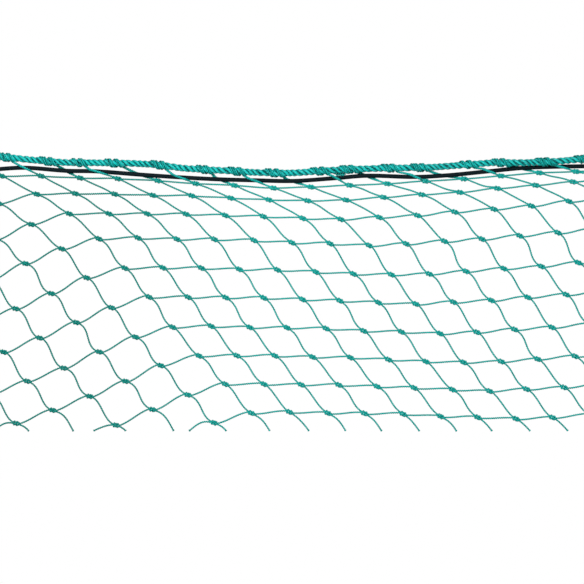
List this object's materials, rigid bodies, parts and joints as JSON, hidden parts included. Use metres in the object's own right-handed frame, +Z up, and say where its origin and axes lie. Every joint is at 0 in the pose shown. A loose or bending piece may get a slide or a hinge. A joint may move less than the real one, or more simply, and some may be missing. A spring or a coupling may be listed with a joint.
{
  "type": "knotted trailer cargo netting, cut length",
  "caption": "Cut length of green knotted trailer cargo netting, hitched to a laid border rope, with a black elastic draw cord woven along its top edge, lying flat.",
  "frame": {"origin": "on the floor under the middle of the box round the spread netting", "axes": "+X along the border rope, +Y from the cut lower edge towards the rope, +Z up from the floor"},
  "size_m": [0.768, 0.3308, 0.0152],
  "materials": {
    "net_twine": "three-ply polyethylene twine, slightly glossy, sea green",
    "border_rope": "laid polyethylene rope with glossy slanting fibres, sea green",
    "elastic_cord": "finely braided matt cover over rubber, black"
  },
  "bodies": {
    "root": {"net": "net_twine", "border_rope": "border_rope", "elastic_cord": "elastic_cord"}
  },
  "joints": []
}
